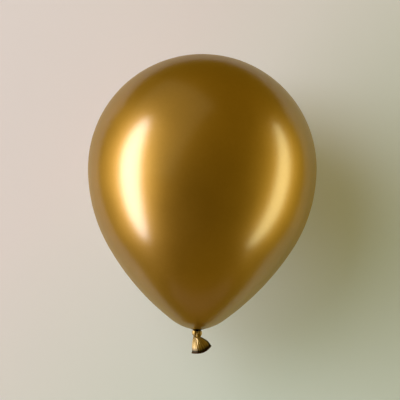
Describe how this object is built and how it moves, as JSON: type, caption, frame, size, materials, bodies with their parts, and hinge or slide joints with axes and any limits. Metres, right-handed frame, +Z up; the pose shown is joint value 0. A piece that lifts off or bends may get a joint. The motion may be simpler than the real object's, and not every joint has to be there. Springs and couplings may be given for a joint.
{
  "type": "latex balloon",
  "caption": "Inflated, tied latex balloon with a gold chrome finish: pear-shaped envelope, gathered neck, overhand knot and a free flared tail with a rolled lip.",
  "frame": {"origin": "middle of the neck where the envelope ends and the knot begins, where a ribbon is tied", "axes": "+Z up along the balloon's axis to the crown, +X to the side that the tail leans to, -Y to the side that the tail's flat face looks to"},
  "size_m": [0.28, 0.28, 0.3675],
  "materials": {
    "stretched_film": "gold chrome latex, stretched and glossy",
    "gathered_film": "gold chrome latex, gathered and creased",
    "slack_film": "gold chrome latex, unstretched and satin"
  },
  "bodies": {
    "balloon": {"envelope": "stretched_film", "gathered_neck": "gathered_film"},
    "knot": {"knot_loop": "gathered_film", "knot_crossing": "gathered_film"},
    "tail_root": {"neck_strand": "gathered_film"},
    "tail": {"tail": "slack_film", "rolled_lip": "slack_film"}
  },
  "joints": [
    {"name": "knot_turn", "type": "hinge", "parent": "balloon", "child": "knot", "pos_m": [0, 0, 0], "axis": [0, 0, 1], "range_deg": [-90, 90], "stiffness_Nm_per_rad": 0.01},
    {"name": "tail_swing", "type": "hinge", "parent": "knot", "child": "tail_root", "pos_m": [0, 0, -0.0066], "axis": [0, -1, 0], "range_deg": [-35, 12], "stiffness_Nm_per_rad": 0.01},
    {"name": "tail_nod", "type": "hinge", "parent": "tail_root", "child": "tail", "pos_m": [0.00169, 0, -0.01077], "axis": [0.9272, 0, 0.3746], "range_deg": [-35, 35], "stiffness_Nm_per_rad": 0.01}
  ]
}
